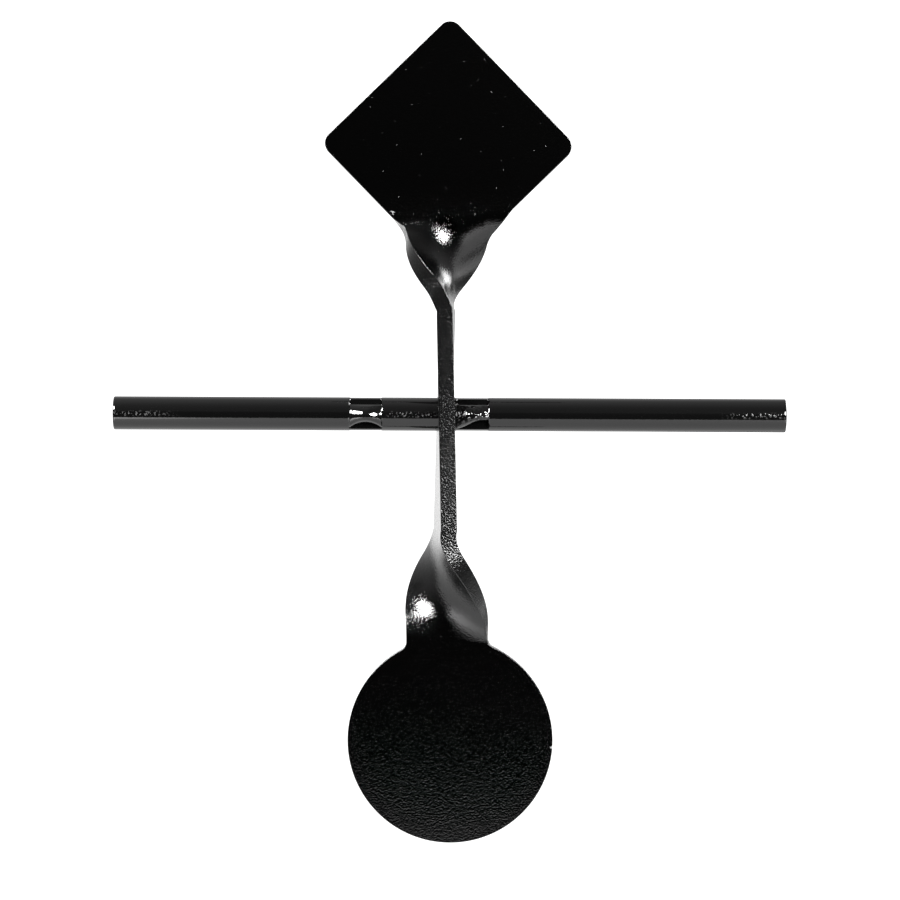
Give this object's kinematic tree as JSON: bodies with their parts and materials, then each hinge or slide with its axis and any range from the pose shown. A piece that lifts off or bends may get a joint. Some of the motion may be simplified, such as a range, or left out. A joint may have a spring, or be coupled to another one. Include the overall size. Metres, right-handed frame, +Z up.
{
  "type": "spinner target",
  "caption": "Steel spinner target: a diamond plate and a disc, twisted from the ends of a strap that spins on a round crossbar between pressed stops.",
  "frame": {"origin": "centre of the crossbar's left end face, where a stand takes hold of it", "axes": "+X along the crossbar to its right end, +Y from front to back, +Z up, with the diamond above the bar and the disc below"},
  "size_m": [0.2083, 0.0258, 0.2543],
  "materials": {
    "bar_coat": "gloss black coat on a round steel rod",
    "paddle_coat": "gloss black powder coat with fine orange peel on steel plate"
  },
  "bodies": {
    "crossbar": {"crossbar": "bar_coat"},
    "paddle": {"paddle": "paddle_coat"}
  },
  "joints": [
    {"name": "paddle_spin", "type": "hinge", "parent": "crossbar", "child": "paddle", "pos_m": [0.1029, 0, 0], "axis": [1, 0, 0], "continuous": true}
  ]
}
